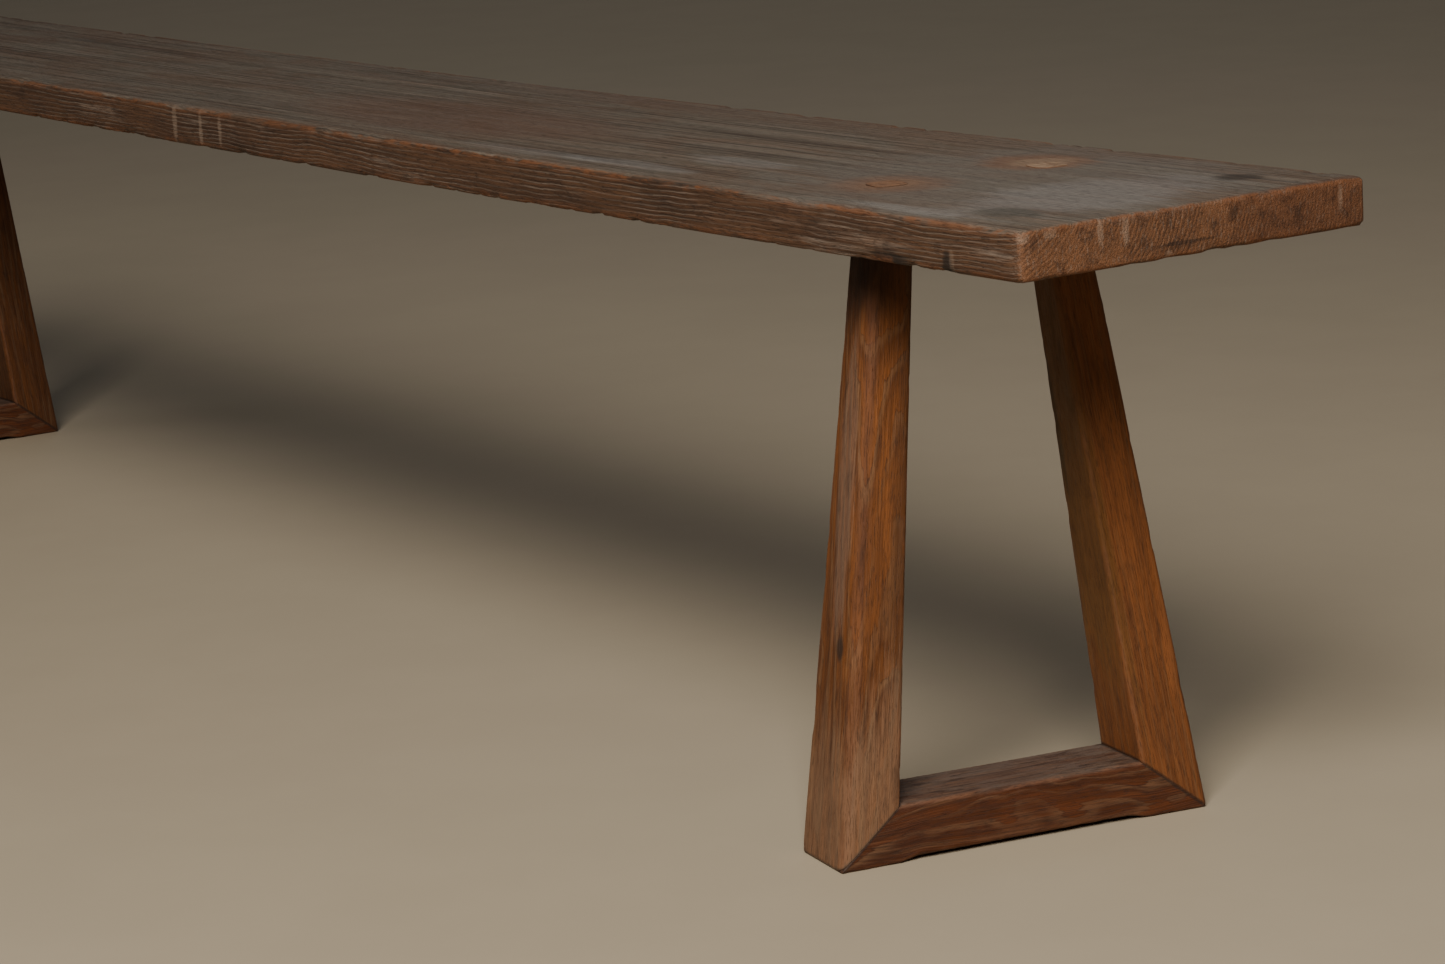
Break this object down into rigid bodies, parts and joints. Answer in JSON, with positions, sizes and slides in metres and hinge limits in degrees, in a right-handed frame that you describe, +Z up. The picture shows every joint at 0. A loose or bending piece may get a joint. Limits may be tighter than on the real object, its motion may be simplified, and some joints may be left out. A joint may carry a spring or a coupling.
{
  "type": "backless bench",
  "caption": "Long solid-wood bench without a back: a thick worn plank on two splayed leg frames, each mitred into a rail on the floor, with tenons through the seat",
  "frame": {"origin": "on the floor, under the middle of the bench's bounding box", "axes": "+X along the bench to its wide right end, +Y to the rear, +Z up; the front looks along -Y"},
  "size_m": [2.3598, 0.2909, 0.45],
  "materials": {
    "weathered_plank": "bare weathered hardwood, grey-brown with worn orange-brown edges",
    "leg_wood": "oiled old hardwood, warm orange-brown, rubbed smooth",
    "rail_wood": "oiled old hardwood, darker red-brown, grey on top",
    "wedge_wood": "end grain, bare",
    "key_wood": "bare, hidden in the joint"
  },
  "bodies": {
    "root": {"seat_plank": "weathered_plank", "leg_front_right": "leg_wood", "leg_rear_right": "leg_wood", "leg_front_left": "leg_wood", "leg_rear_left": "leg_wood", "floor_rail_right": "rail_wood", "floor_rail_left": "rail_wood", "wedge_front_right": "wedge_wood", "wedge_rear_right": "wedge_wood", "wedge_front_left": "wedge_wood", "wedge_rear_left": "wedge_wood", "mitre_key_front_right": "key_wood", "mitre_key_rear_right": "key_wood", "mitre_key_front_left": "key_wood", "mitre_key_rear_left": "key_wood"}
  },
  "joints": []
}
